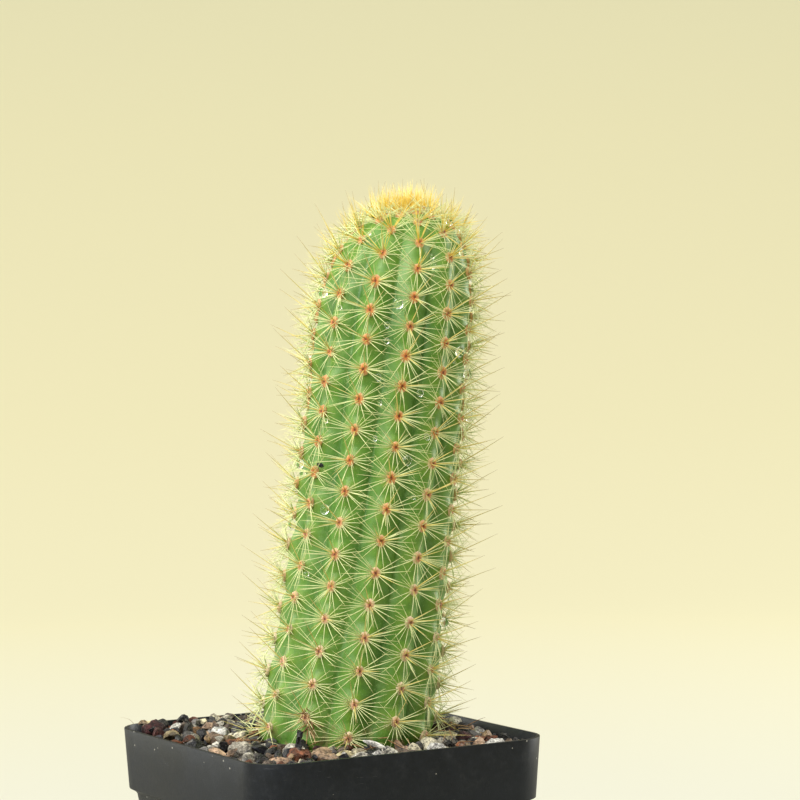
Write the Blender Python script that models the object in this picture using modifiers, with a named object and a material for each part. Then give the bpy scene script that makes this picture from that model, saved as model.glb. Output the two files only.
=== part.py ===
"""Potted tall cactus: a ribbed golden-spined column in a square nursery pot, with its potting mix
and a loose top dressing of gravel. Metres, +Z up. The origin is the centre of the pot's underside,
on the surface it stands on, and X and Y run square to the pot's sides."""

import math
import random

import bmesh
import bpy
from mathutils import Matrix, Vector, noise

OBJECT_NAME = "potted_tall_cactus"

# Pot: outer sizes of a thin moulded shell.
POT_TOP_WIDTH = 0.090
POT_BASE_WIDTH = 0.066
POT_HEIGHT = 0.084
POT_WALL = 0.0009
POT_CORNER_RADIUS = 0.0108
BASE_EDGE_RADIUS = 0.003
BAND_HEIGHT = 0.0174
BAND_STEP = 0.0014
BAND_DRAFT = 0.0009
CORNER_SEGMENTS = 7

# Underside of the pot: a foot all round, a raised floor and a flat pad in the middle.
FOOT_WIDTH = 0.0045
FLOOR_LIFT = 0.002
FLOOR_STEP_RUN = 0.002
PAD_WIDTH = 0.018
DRAIN_HOLES = 8
DRAIN_HOLE_RADIUS = 0.003
FOOT_NOTCH_WIDTH = 0.009
FOOT_NOTCH_HEIGHT = 0.0015

# Clearance between pieces that touch.
FIT_GAP = 0.0003

# Potting mix: how far its middle lies below the rim, its slope up towards the far side, and how
# it swells round the stem.
MIX_BELOW_RIM = 0.0050
MIX_SLOPE = 0.030
MIX_MOUND = 0.0015
MIX_MOUND_REACH = 0.030
MIX_UNEVENNESS = 0.0004
MIX_GRID = 20

# Stem: centre line from the rim's level, as place, lean and bend for each metre of height.
STEM_FOOT = Vector((0.00645, 0.0020))
STEM_LEAN = Vector((0.144, -0.074))
STEM_BEND = Vector((-0.196, 0.265))
STEM_HEIGHT_OVER_RIM = 0.1428
STEM_TIP_SHIFT = Vector((0.0018, -0.0010))
STEM_RADIUS = 0.0211
STEM_FLARE = 0.0029
STEM_FLARE_HEIGHT = 0.045
DOME_HEIGHT = 0.036
DOME_POWER = 2.6
RIBS = 12
RIB_DEPTH = 0.0026
RIB_START_DEG = -89.0
RIB_TWIST_DEG = 101.0
SIDES_PER_RIB = 4
STEM_RINGS = 34
ROOT_SHARE = 0.16
DOME_SHARE = 0.66

# Root crown: the stem's buried foot.
ROOT_DEPTH = 0.030
ROOT_NECK_RADIUS = 0.0205

# Crown spines: the upright tuft on the growing tip.
CROWN_SPINES = 15
CROWN_SPINE_LENGTH = 0.0110
CROWN_SPINE_RADIUS = 0.0005
CROWN_SPREAD = 0.0052
SPINE_SINK = 0.0026

# Top dressing. A row of BED_STONES is kind, place as a share of the bed's half width, length.
STONE_COUNT = 52
STONE_LENGTHS = (0.0052, 0.0084)
STONE_SEED = 41
STONE_TRIES = 4000
STONE_SEARCH_STEP = 0.0009
LAY_SLACK = 1.25
BED_STONES = (
    ("lava", -0.85, 0.83, 0.0074),
    ("charcoal", -0.62, 0.88, 0.0062),
    ("flint", -0.92, 0.62, 0.0044),
    ("pumice", -0.55, 0.47, 0.0066),
    ("pumice", -0.33, 0.76, 0.0056),
    ("granite", -0.77, 0.48, 0.0062),
    ("flint", -0.85, -0.08, 0.0064),
    ("lava", -0.62, 0.10, 0.0060),
    ("pumice", -0.91, -0.74, 0.0052),
    ("flint", -0.76, -0.87, 0.0060),
    ("granite", -0.55, -0.74, 0.0066),
    ("pumice", 0.05, -0.66, 0.0060),
    ("pumice", 0.32, -0.80, 0.0076),
    ("flint", 0.52, -0.86, 0.0056),
    ("lava", 0.72, -0.48, 0.0064),
    ("lava", 0.86, -0.62, 0.0058),
    ("pumice", 0.90, -0.38, 0.0068),
    ("flint", 0.92, -0.84, 0.0050),
)
# Kind: share of the loose stones, colour, roughness, and height and width for each length.
STONE_KINDS = {
    "pumice": (0.28, (0.78, 0.75, 0.66), 0.90, (0.70, 0.80)),
    "lava": (0.22, (0.24, 0.075, 0.045), 0.92, (0.72, 0.84)),
    "granite": (0.24, (0.30, 0.28, 0.27), 0.75, (0.62, 0.78)),
    "charcoal": (0.10, (0.022, 0.022, 0.024), 0.80, (0.66, 0.72)),
    "flint": (0.16, (0.52, 0.36, 0.22), 0.62, (0.60, 0.76)),
}
STONE_FACETS = 7

# Worked out from the sizes above.
SHOULDER_HEIGHT = POT_HEIGHT - BAND_HEIGHT
SHOULDER_HALF = POT_TOP_WIDTH / 2 - BAND_DRAFT - BAND_STEP
BASE_HALF = POT_BASE_WIDTH / 2
FLOOR_TOP = FLOOR_LIFT + POT_WALL
BED_HALF = POT_TOP_WIDTH / 2 - BAND_DRAFT - POT_WALL - FIT_GAP
MIX_LEVEL = POT_HEIGHT - MIX_BELOW_RIM


def clear_scene():
    for obj in list(bpy.data.objects):
        bpy.data.objects.remove(obj, do_unlink=True)


def new_collection(name, hidden=False):
    made = bpy.data.collections.new(name)
    made.hide_render = hidden
    bpy.context.scene.collection.children.link(made)
    return made


def new_material(name, colour, roughness, metallic=0.0):
    material = bpy.data.materials.new(name)
    material.use_nodes = True
    shader = material.node_tree.nodes["Principled BSDF"]
    shader.inputs["Base Color"].default_value = (*colour, 1.0)
    shader.inputs["Roughness"].default_value = roughness
    shader.inputs["Metallic"].default_value = metallic
    material.diffuse_color = (*colour, 1.0)
    return material


def new_object(name, bm, collection, material=None, smooth_degrees=None):
    mesh = bpy.data.meshes.new(name)
    bm.to_mesh(mesh)
    bm.free()
    if smooth_degrees is not None:
        mesh.shade_smooth()
        mesh.set_sharp_from_angle(angle=math.radians(smooth_degrees))
    obj = bpy.data.objects.new(name, mesh)
    if material:
        mesh.materials.append(material)
    collection.objects.link(obj)
    return obj


def new_cutter(name, bm, collection):
    obj = new_object(name, bm, collection)
    obj.hide_render = True
    obj.display_type = "WIRE"
    return obj


def add_boolean(obj, operation, other):
    modifier = obj.modifiers.new(operation.lower() + "_" + other.name, "BOOLEAN")
    modifier.operation = operation
    modifier.object = other
    modifier.solver = "EXACT"


# ---- Rounded-square profiles -------------------------------------------------------------------


def rounded_plate(bm, half_width, z):
    """One flat face with rounded corners."""
    corners = bmesh.ops.create_grid(bm, x_segments=1, y_segments=1, size=half_width)["verts"]
    bmesh.ops.bevel(
        bm,
        geom=corners,
        offset=POT_CORNER_RADIUS,
        offset_type="OFFSET",
        segments=CORNER_SEGMENTS,
        profile=0.5,
        affect="VERTICES",
    )
    bmesh.ops.translate(bm, verts=bm.verts[:], vec=(0, 0, z))
    bm.faces.ensure_lookup_table()
    return bm.faces[0]


def extrude_up(bm, edges, profile):
    """Carries an outline through the (half width, height) pairs after the first."""
    for (half, z), (next_half, next_z) in zip(profile, profile[1:]):
        made = bmesh.ops.extrude_edge_only(bm, edges=edges)["geom"]
        verts = [item for item in made if isinstance(item, bmesh.types.BMVert)]
        grow = next_half - half
        for v in verts:
            v.co.x += math.copysign(grow, v.co.x)
            v.co.y += math.copysign(grow, v.co.y)
            v.co.z += next_z - z
        ring = set(verts)
        edges = [
            item
            for item in made
            if isinstance(item, bmesh.types.BMEdge) and ring.issuperset(item.verts)
        ]
    return edges


def base_arc(radius, steps):
    """The rounded edge between underside and wall, as (half width, height) pairs."""
    pairs = []
    for step in range(steps + 1):
        turn = math.pi / 2 * step / steps
        pairs.append((BASE_HALF - radius + radius * math.sin(turn), radius - radius * math.cos(turn)))
    return pairs


def wall_half(z):
    """Half the pot's outer width below the rim band."""
    share = (z - BASE_EDGE_RADIUS) / (SHOULDER_HEIGHT - BASE_EDGE_RADIUS)
    return BASE_HALF + (SHOULDER_HALF - BASE_HALF) * max(0.0, share)


# ---- Pot ---------------------------------------------------------------------------------------


def raise_floor(bm, floor):
    """Lifts the underside inside a foot ring and leaves a flat pad in its middle."""
    flat_foot = FOOT_WIDTH - BASE_EDGE_RADIUS
    bmesh.ops.inset_region(bm, faces=[floor], thickness=flat_foot, use_boundary=True)
    bmesh.ops.inset_region(bm, faces=[floor], thickness=FLOOR_STEP_RUN)
    bmesh.ops.translate(bm, verts=floor.verts[:], vec=(0, 0, FLOOR_LIFT))
    for axis in (Vector((1, 0, 0)), Vector((0, 1, 0))):
        for side in (-1, 1):
            raised = [f for f in bm.faces if f.calc_center_median().z > FLOOR_LIFT * 0.9]
            edges = {e for f in raised for e in f.edges}
            verts = {v for f in raised for v in f.verts}
            bmesh.ops.bisect_plane(
                bm,
                geom=raised + list(edges) + list(verts),
                plane_co=axis * side * PAD_WIDTH / 2,
                plane_no=axis,
            )
    pad = min(
        (f for f in bm.faces if f.calc_center_median().z > FLOOR_LIFT * 0.9),
        key=lambda f: f.calc_center_median().xy.length,
    )
    bmesh.ops.inset_region(bm, faces=[pad], thickness=FLOOR_STEP_RUN)
    bmesh.ops.translate(bm, verts=pad.verts[:], vec=(0, 0, -FLOOR_LIFT))


def pot_surface():
    """The pot's outer surface, open at the rim."""
    bm = bmesh.new()
    profile = base_arc(BASE_EDGE_RADIUS, 3)
    profile += [
        (SHOULDER_HALF - BAND_STEP * 0.15, SHOULDER_HEIGHT - BAND_STEP * 0.5),
        (SHOULDER_HALF + BAND_STEP * 0.2, SHOULDER_HEIGHT),
        (SHOULDER_HALF + BAND_STEP, SHOULDER_HEIGHT + BAND_STEP * 0.5),
        (POT_TOP_WIDTH / 2, POT_HEIGHT),
    ]
    floor = rounded_plate(bm, profile[0][0], 0.0)
    raise_floor(bm, floor)
    open_edges = [e for e in bm.edges if e.is_boundary]
    extrude_up(bm, open_edges, profile)
    bmesh.ops.recalc_face_normals(bm, faces=bm.faces[:])
    lowest = min(bm.faces, key=lambda f: f.calc_center_median().z)
    if lowest.normal.z > 0:
        bmesh.ops.reverse_faces(bm, faces=bm.faces[:])
    return bm


def drain_cutters(collection):
    cutters = []
    ring_inner = BASE_HALF - FOOT_WIDTH - FLOOR_STEP_RUN
    hole_circle = (PAD_WIDTH / 2 * math.sqrt(2) + ring_inner) / 2
    for index in range(DRAIN_HOLES):
        turn = 2 * math.pi * index / DRAIN_HOLES
        bm = bmesh.new()
        bmesh.ops.create_cone(
            bm,
            cap_ends=True,
            segments=16,
            radius1=DRAIN_HOLE_RADIUS,
            radius2=DRAIN_HOLE_RADIUS,
            depth=FLOOR_TOP * 2,
        )
        place = Vector((math.cos(turn), math.sin(turn), 0)) * hole_circle
        bmesh.ops.translate(bm, verts=bm.verts[:], vec=place + Vector((0, 0, FLOOR_TOP)))
        cutters.append(new_cutter(f"drain_hole_cutter_{index + 1}", bm, collection))
    reach = FOOT_WIDTH + FLOOR_STEP_RUN + POT_WALL
    for index in range(4):
        bm = bmesh.new()
        bmesh.ops.create_cube(bm, size=1.0)
        size = Vector((reach * 2, FOOT_NOTCH_WIDTH, FOOT_NOTCH_HEIGHT * 2))
        bmesh.ops.scale(bm, verts=bm.verts[:], vec=size)
        bmesh.ops.translate(bm, verts=bm.verts[:], vec=(BASE_HALF, 0, 0))
        bmesh.ops.rotate(bm, verts=bm.verts[:], matrix=Matrix.Rotation(math.pi / 2 * index, 3, "Z"))
        cutters.append(new_cutter(f"foot_notch_cutter_{index + 1}", bm, collection))
    return cutters


def make_pot(parts, cutters):
    plastic = new_material("black_plastic", (0.024, 0.024, 0.026), 0.42)
    pot = new_object("pot", pot_surface(), parts, plastic, smooth_degrees=30)
    shell = pot.modifiers.new("wall", "SOLIDIFY")
    shell.thickness = POT_WALL
    shell.offset = -1
    shell.use_even_offset = True
    for cutter in drain_cutters(cutters):
        add_boolean(pot, "DIFFERENCE", cutter)


# ---- Stem --------------------------------------------------------------------------------------


def stem_centre(z):
    """Where the stem's centre line passes the height z."""
    rise = z - POT_HEIGHT
    in_dome = max(0.0, 1 + (rise - STEM_HEIGHT_OVER_RIM) / DOME_HEIGHT)
    return STEM_FOOT + STEM_LEAN * rise + STEM_BEND * rise**2 + STEM_TIP_SHIFT * in_dome**2


def stem_section(share):
    """Height and crest radius at a share of the way from the root's tip, 0, to the apex, 1."""
    ground = MIX_LEVEL
    apex = POT_HEIGHT + STEM_HEIGHT_OVER_RIM
    dome_start = apex - DOME_HEIGHT
    if share < ROOT_SHARE:
        turn = math.pi / 2 * share / ROOT_SHARE
        return ground - ROOT_DEPTH * math.cos(turn), ROOT_NECK_RADIUS * math.sin(turn) ** 0.8
    if share < DOME_SHARE:
        z = ground + (dome_start - ground) * (share - ROOT_SHARE) / (DOME_SHARE - ROOT_SHARE)
    else:
        turn = math.pi / 2 * (share - DOME_SHARE) / (1 - DOME_SHARE)
        z = dome_start + DOME_HEIGHT * math.sin(turn) ** (2 / DOME_POWER)
    flare = STEM_FLARE * math.exp(-max(0.0, z - POT_HEIGHT) / STEM_FLARE_HEIGHT)
    neck = min(1.0, (z - ground) / (POT_HEIGHT - ground))
    radius = ROOT_NECK_RADIUS + (STEM_RADIUS + flare - ROOT_NECK_RADIUS) * math.sqrt(neck)
    if share >= DOME_SHARE:
        radius *= max(0.0, math.cos(turn)) ** (2 / DOME_POWER)
    return z, radius


def rib_angle(z):
    """Turn of the first rib's crest about the centre line at the height z."""
    return math.radians(RIB_START_DEG + RIB_TWIST_DEG * (z - POT_HEIGHT))


def stem_surface(rings, swell=0.0):
    """The ribbed stem and its root crown, from a sphere whose rings are drawn out to shape.
    Swell carries the surface outward by a clearance."""
    bm = bmesh.new()
    sides = RIBS * SIDES_PER_RIB
    bmesh.ops.create_uvsphere(bm, u_segments=sides, v_segments=rings, radius=1.0)
    for v in bm.verts:
        share = 1 - math.acos(max(-1.0, min(1.0, v.co.z))) / math.pi
        side = math.atan2(v.co.y, v.co.x) / (2 * math.pi) * RIBS
        z, radius = stem_section(share)
        fade = min(1.0, radius / STEM_RADIUS) ** 2 * min(1.0, max(0.0, (z - MIX_LEVEL) / 0.004))
        from_crest = abs(side - round(side)) * 2
        radius -= RIB_DEPTH * fade * from_crest**1.6
        if share < 1e-6 or share > 1 - 1e-6:
            radius = -swell
        turn = rib_angle(z) + side / RIBS * 2 * math.pi
        centre = stem_centre(z)
        if share < ROOT_SHARE:
            z -= swell
        reach = radius + swell
        v.co = Vector((centre.x + reach * math.cos(turn), centre.y + reach * math.sin(turn), z))
    # The same diagonals in the stem and in its socket keep the clearance even.
    bmesh.ops.triangulate(bm, faces=bm.faces[:], quad_method="FIXED")
    bmesh.ops.recalc_face_normals(bm, faces=bm.faces[:])
    return bm


def crown_spine_tuft():
    """Slender cones on the growing tip, leaning further out the further they are from its middle."""
    bm = bmesh.new()
    apex = POT_HEIGHT + STEM_HEIGHT_OVER_RIM
    centre = stem_centre(apex)
    golden_turn = math.pi * (3 - math.sqrt(5))
    for index in range(CROWN_SPINES):
        out = CROWN_SPREAD * math.sqrt((index + 0.3) / CROWN_SPINES)
        turn = golden_turn * index
        heading = Vector((math.cos(turn), math.sin(turn), 0))
        lean = heading * (out / CROWN_SPREAD) * 0.55
        direction = (Vector((0, 0, 1)) + lean).normalized()
        root = Vector((centre.x, centre.y, apex - SPINE_SINK)) + heading * out
        made = bmesh.ops.create_cone(
            bm,
            cap_ends=True,
            segments=5,
            radius1=CROWN_SPINE_RADIUS,
            radius2=CROWN_SPINE_RADIUS * 0.2,
            depth=CROWN_SPINE_LENGTH,
        )["verts"]
        turned = direction.to_track_quat("Z", "Y").to_matrix()
        bmesh.ops.rotate(bm, verts=made, matrix=turned)
        bmesh.ops.translate(bm, verts=made, vec=root + direction * CROWN_SPINE_LENGTH / 2)
    return bm


def make_cactus(parts, cutters):
    green = new_material("cactus_skin", (0.115, 0.31, 0.055), 0.5)
    cactus = new_object("cactus", stem_surface(STEM_RINGS), parts, green, smooth_degrees=60)
    tuft = new_cutter("crown_spine_tuft", crown_spine_tuft(), cutters)
    add_boolean(cactus, "UNION", tuft)


# ---- Potting mix -------------------------------------------------------------------------------


def mix_height(x, y):
    """Height of the potting mix's surface."""
    away = (Vector((x, y)) - STEM_FOOT).length
    mound = MIX_MOUND * math.exp(-((away / MIX_MOUND_REACH) ** 2))
    return MIX_LEVEL + mound + MIX_SLOPE * y + MIX_UNEVENNESS * noise.noise(Vector((x, y, 0)) * 90)


def mix_surface():
    """The mix up to the rim, before its top is cut."""
    bm = bmesh.new()
    inside = POT_WALL + FIT_GAP
    low = FLOOR_TOP + 2 * FIT_GAP
    shelf = SHOULDER_HEIGHT + BAND_STEP * 0.5 + inside
    top_half = POT_TOP_WIDTH / 2 - inside
    profile = [
        (wall_half(low) - inside * 1.1, low),
        (wall_half(shelf) - BAND_STEP * 0.15 - inside * 1.3, shelf),
        (SHOULDER_HALF + BAND_STEP - inside * 1.1, shelf + BAND_STEP * 0.3),
        (top_half, POT_HEIGHT),
    ]
    bottom = rounded_plate(bm, *profile[0])
    edges = extrude_up(bm, bottom.edges[:], profile)
    bmesh.ops.contextual_create(bm, geom=edges)
    bmesh.ops.recalc_face_normals(bm, faces=bm.faces[:])
    return bm


def air_over_mix():
    """A block whose underside is the uneven surface of the mix."""
    bm = bmesh.new()
    bmesh.ops.create_grid(bm, x_segments=MIX_GRID, y_segments=MIX_GRID, size=POT_TOP_WIDTH * 0.55)
    made = bmesh.ops.extrude_face_region(bm, geom=bm.faces[:])["geom"]
    top = {item for item in made if isinstance(item, bmesh.types.BMVert)}
    for v in bm.verts:
        v.co.z = POT_HEIGHT * 1.2 if v in top else mix_height(v.co.x, v.co.y)
    bmesh.ops.recalc_face_normals(bm, faces=bm.faces[:])
    return bm


def make_mix(parts, cutters):
    soil = new_material("potting_mix", (0.060, 0.042, 0.030), 0.95)
    mix = new_object("potting_mix", mix_surface(), parts, soil)
    add_boolean(mix, "DIFFERENCE", new_cutter("air_over_mix", air_over_mix(), cutters))
    socket = new_cutter("root_socket", stem_surface(STEM_RINGS, FIT_GAP), cutters)
    add_boolean(mix, "DIFFERENCE", socket)


# ---- Top dressing ------------------------------------------------------------------------------


def stone_surface(kind, length, rng):
    """One angular stone about the origin: a ball squashed, worn flat on a few sides and roughened."""
    height, width = STONE_KINDS[kind][3]
    bm = bmesh.new()
    bmesh.ops.create_icosphere(bm, subdivisions=2, radius=1.0)
    facets = []
    for _ in range(STONE_FACETS):
        direction = Vector((rng.uniform(-1, 1), rng.uniform(-1, 1), rng.uniform(-1, 1))).normalized()
        facets.append((direction, rng.uniform(0.62, 0.86)))
    offset = Vector((rng.uniform(-50, 50), rng.uniform(-50, 50), 0))
    yaw = Matrix.Rotation(rng.uniform(0, 2 * math.pi), 3, "Z")
    tilt = Matrix.Rotation(rng.uniform(-0.3, 0.3), 3, "X")
    for v in bm.verts:
        direction = v.co.normalized()
        v.co = direction * (1 + 0.12 * noise.noise(direction * 1.6 + offset))
        for normal, reach in facets:
            past = v.co.dot(normal) - reach
            if past > 0:
                v.co -= normal * past
        size = Vector((length, length * width, length * height)) / 2
        v.co = yaw @ tilt @ Vector((v.co.x * size.x, v.co.y * size.y, v.co.z * size.z))
    return bm


def plan_radius(bm):
    return max(v.co.xy.length for v in bm.verts)


def in_bed(x, y, reach):
    """True where a stone of this plan radius misses the stem and the pot's wall."""
    inner = BED_HALF - reach
    if abs(x) > inner or abs(y) > inner:
        return False
    round_half = BED_HALF - POT_CORNER_RADIUS
    corner = Vector((max(0.0, abs(x) - round_half), max(0.0, abs(y) - round_half)))
    if corner.length > POT_CORNER_RADIUS - reach and min(corner) > 0:
        return False
    stem = stem_centre(POT_HEIGHT)
    return (Vector((x, y)) - stem).length > STEM_RADIUS + STEM_FLARE + FIT_GAP + reach


def under_stone(x, y, reach, placed):
    """The stones that one of this plan radius would lie on at (x, y)."""
    return [
        other
        for other in placed
        if math.hypot(x - other[0], y - other[1]) <= reach + other[2] + FIT_GAP
    ]


def nearest_place(x, y, reach, placed):
    """The nearest place to (x, y), along a growing spiral, where a stone lies on the mix. In a
    bed too full for that, the nearest place where it lies on other stones."""
    golden_turn = math.pi * (3 - math.sqrt(5))
    piled = None
    for step in range(STONE_TRIES):
        out = STONE_SEARCH_STEP * math.sqrt(step)
        at = (x + out * math.cos(step * golden_turn), y + out * math.sin(step * golden_turn))
        if not in_bed(*at, reach):
            continue
        if not under_stone(*at, reach, placed):
            return at
        piled = piled or at
    return piled


def lay_stone(bm, x, y, reach, placed):
    """Lowers a stone at (x, y) until it lies just over the fit gap above what is under it."""
    lift = max(mix_height(x + v.co.x, y + v.co.y) - v.co.z for v in bm.verts)
    lowest = min(v.co.z for v in bm.verts)
    for other in under_stone(x, y, reach, placed):
        lift = max(lift, other[3] - lowest)
    bmesh.ops.translate(bm, verts=bm.verts[:], vec=(x, y, lift + FIT_GAP * LAY_SLACK))
    return max(v.co.z for v in bm.verts)


def make_stones(parts):
    rng = random.Random(STONE_SEED)
    kinds = list(STONE_KINDS)
    materials = {
        kind: new_material(kind, colour, roughness)
        for kind, (_, colour, roughness, _) in STONE_KINDS.items()
    }
    wanted = [(kind, x * BED_HALF, y * BED_HALF, length) for kind, x, y, length in BED_STONES]
    shares = [STONE_KINDS[kind][0] for kind in kinds]
    while len(wanted) < STONE_COUNT:
        kind = rng.choices(kinds, shares)[0]
        x, y = (rng.uniform(-BED_HALF, BED_HALF) for _ in range(2))
        wanted.append((kind, x, y, rng.uniform(*STONE_LENGTHS)))
    placed = []
    counts = dict.fromkeys(kinds, 0)
    for kind, x, y, length in wanted:
        bm = stone_surface(kind, length, rng)
        reach = plan_radius(bm)
        at = nearest_place(x, y, reach, placed)
        top = lay_stone(bm, *at, reach, placed)
        placed.append((*at, reach, top))
        counts[kind] += 1
        new_object(f"{kind}_{counts[kind]:02d}", bm, parts, materials[kind], smooth_degrees=35)


def main():
    clear_scene()
    parts = new_collection(OBJECT_NAME)
    cutters = new_collection(OBJECT_NAME + "_cutters", hidden=True)
    make_pot(parts, cutters)
    make_mix(parts, cutters)
    make_cactus(parts, cutters)
    make_stones(parts)


main()
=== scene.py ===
"""Finished look of the potted tall cactus: skin, areoles, spines, gravel and pot, made round the
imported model. Metres, +Z up, in the model's own frame."""

import math
import random

import bpy
import numpy as np
from mathutils import Matrix, Vector, noise


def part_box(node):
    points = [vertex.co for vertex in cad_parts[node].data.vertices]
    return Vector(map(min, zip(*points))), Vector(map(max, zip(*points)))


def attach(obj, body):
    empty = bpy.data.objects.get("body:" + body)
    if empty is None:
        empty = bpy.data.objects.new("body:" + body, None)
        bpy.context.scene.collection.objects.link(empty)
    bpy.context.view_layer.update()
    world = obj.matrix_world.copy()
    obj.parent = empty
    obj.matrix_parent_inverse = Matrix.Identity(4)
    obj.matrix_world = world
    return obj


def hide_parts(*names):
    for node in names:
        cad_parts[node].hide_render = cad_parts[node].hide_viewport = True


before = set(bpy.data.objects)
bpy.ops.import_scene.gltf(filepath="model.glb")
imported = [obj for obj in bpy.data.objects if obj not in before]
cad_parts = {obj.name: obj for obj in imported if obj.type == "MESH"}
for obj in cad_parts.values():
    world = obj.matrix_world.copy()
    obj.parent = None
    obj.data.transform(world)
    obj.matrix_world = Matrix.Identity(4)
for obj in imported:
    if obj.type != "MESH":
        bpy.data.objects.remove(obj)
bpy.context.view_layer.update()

# ---- Sizes ----

# Pot and gravel bed.
RIM_HEIGHT = 0.084
RIM_ROUNDING = 0.00022
BED_HALF = 0.0429
BED_CORNER_RADIUS = 0.0099
MIX_LEVEL = 0.0790

# Stem: centre line from the rim's level, as place, lean and bend for each metre of height.
STEM_FOOT = Vector((0.00645, 0.0020))
STEM_LEAN = Vector((0.144, -0.074))
STEM_BEND = Vector((-0.196, 0.265))
STEM_TIP_SHIFT = Vector((0.0018, -0.0010))
APEX_HEIGHT = RIM_HEIGHT + 0.1428
STEM_RADIUS = 0.0211
STEM_FLARE = 0.0029
STEM_FLARE_HEIGHT = 0.045
DOME_HEIGHT = 0.036
DOME_POWER = 2.6
ROOT_DEPTH = 0.030
ROOT_NECK_RADIUS = 0.0205
ROOT_SHARE = 0.16
DOME_SHARE = 0.66
RIBS = 12
RIB_DEPTH = 0.0024
RIB_START_DEG = -89.0
RIB_TWIST_DEG = 101.0
RIB_WAVER = 0.022
SKIN_SIDES = 192
SKIN_RINGS = 250
SKIN_UNEVENNESS = 0.00018
WELD_REACH = 0.00001

# Areoles: arc length from the rim's level to each one's number up its rib.
AREOLE_FIRST = 0.0008
AREOLE_PITCH = 0.0091
AREOLE_SHRINK = 0.000045
AREOLE_STAGGER = 5 / 12
AREOLE_BULGE = 0.0006
AREOLE_BULGE_REACH = 0.0022
CREASE_DEPTH = 0.00022
CREASE_REACH = 0.0009
LOWEST_AREOLE = 0.0022
AREOLE_WIDTH = 0.0029
AREOLE_LENGTH = 0.0036
AREOLE_THICKNESS = 0.0018
CROWN_REACH = 0.0062
CROWN_SKIRT = 0.030

# Spines: length and root radius of the model that each kind is copied from, and some counts.
RADIAL_LENGTH = 0.0080
RADIAL_RADIUS = 0.00013
CENTRAL_LENGTH = 0.0120
CENTRAL_RADIUS = 0.00017
CROWN_LENGTH = 0.0090
CROWN_SPINE_RADIUS = 0.00013
CROWN_BUNDLES = 34
CROWN_BUNDLE_SPINES = 8
FRINGE_SPINES = 6

# Water drops.
DROP_COUNT = 72
DROP_SIZES = (0.0013, 0.0016, 0.0020, 0.0023, 0.0027)
DROP_LIFTS = (0.0007, 0.0026)

# Gravel.
GRAVEL_LEVEL = RIM_HEIGHT - 0.0014
GRAVEL_SLOPE = 0.050
GRIT_COUNT = 1250
GRIT_SIZES = (0.0026, 0.0062)
GRIT_SHARES = {"pumice": 0.19, "lava": 0.13, "granite": 0.25, "charcoal": 0.32, "flint": 0.11}
HEIGHT_CELL = 0.0005

# Litter on the gravel.
FALLEN_SPINES = 46
FIBRE_TOP = Vector((-0.0134, -0.0116, 0.0930))
FIBRE_FOOT = Vector((-0.0134, -0.0142, 0.0868))
HAIR_ROOT = Vector((-0.0390, 0.0432, 0.0842))
TWIG_PLACE = Vector((-0.0222, -0.0232, 0.0854))
TWIG_RADIUS = 0.0008
TWIG_LENGTH = 0.0066
CHIP_PLACE = Vector((-0.0078, -0.0386, 0.0858))
CHIP_LENGTH = 0.0066
CHIP_WIDTH = 0.0018
FLAKE_ALONG = 0.0740
FLAKE_SIDE = -2.89
FLAKE_SIZE = (0.0017, 0.0009, 0.0005)
FLAKE_LIFT = 0.0003
HAIR_LENGTH = 0.0085
HAIR_RADIUS = 0.00007
FIBRE_LENGTH = 0.0070
FIBRE_RADIUS = 0.00022
FIBRE_COUNT = 18
CHIP_THICKNESS = 0.0004

# Camera and surroundings.
CAMERA_PLACE = Vector((-0.3911, -0.7047, RIM_HEIGHT + 0.1193))
CAMERA_HEADING = Vector((0.5075, 0.8616, 0))
CAMERA_PITCH = math.radians(2.0)
CAMERA_ROLL = math.radians(0.69)
CAMERA_LENS = 132
BOWL_FLOOR = 1.1
BOWL_COVE = 0.8
BOWL_HEIGHT = 2.4
# Painted glow of the studio bowl: its strength seen by the camera, and its strength for the light it sheds.
GLOW_SEEN = 0.66
GLOW_UNSEEN = 0.10

# Each panel: camera-right, towards the camera, height, width, length, watts and colour.
LIGHTS = {
    "key_panel": (-0.75, 0.70, 0.95, 1.0, 1.0, 22.5, (1.0, 0.98, 0.93)),
    "fill_panel": (1.15, -0.60, 0.55, 0.9, 0.9, 15.5, (1.0, 0.98, 0.92)),
    "front_panel": (0.15, 1.00, 1.25, 0.6, 0.6, 3.2, (1.0, 0.99, 0.95)),
    "top_panel": (-0.1, -0.1, 1.3, 0.9, 0.9, 6.2, (1.0, 0.98, 0.91)),
    "back_panel": (-1.30, -0.72, 0.35, 1.3, 1.0, 11.5, (0.98, 0.98, 0.92)),
}
LIGHT_AIM = Vector((0, 0, 0.14))

RNG = random.Random(7)
GOLDEN_TURN = math.pi * (3 - math.sqrt(5))


# ---- Modelling helpers ----


def deselect():
    bpy.ops.object.select_all(action="DESELECT")


def select_only(obj):
    deselect()
    obj.select_set(True)
    bpy.context.view_layer.objects.active = obj


def added():
    """The object that the last primitive made."""
    return bpy.context.view_layer.objects.active


def new_object(name, data):
    made = bpy.data.objects.new(name, data)
    bpy.context.scene.collection.objects.link(made)
    return made


def apply_modifier(obj, kind, **settings):
    select_only(obj)
    modifier = obj.modifiers.new(kind.lower(), kind)
    for key, value in settings.items():
        setattr(modifier, key, value)
    bpy.ops.object.modifier_apply(modifier=modifier.name)


def smooth(obj, degrees=180):
    select_only(obj)
    bpy.ops.object.shade_smooth_by_angle(angle=math.radians(degrees))


def edit_all():
    """Opens the active object for editing, with all of it selected."""
    bpy.ops.object.mode_set(mode="EDIT")
    bpy.ops.mesh.select_all(action="SELECT")


def edit_done():
    bpy.ops.object.mode_set(mode="OBJECT")


def face_out(obj):
    select_only(obj)
    edit_all()
    bpy.ops.mesh.normals_make_consistent(inside=False)
    edit_done()


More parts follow.
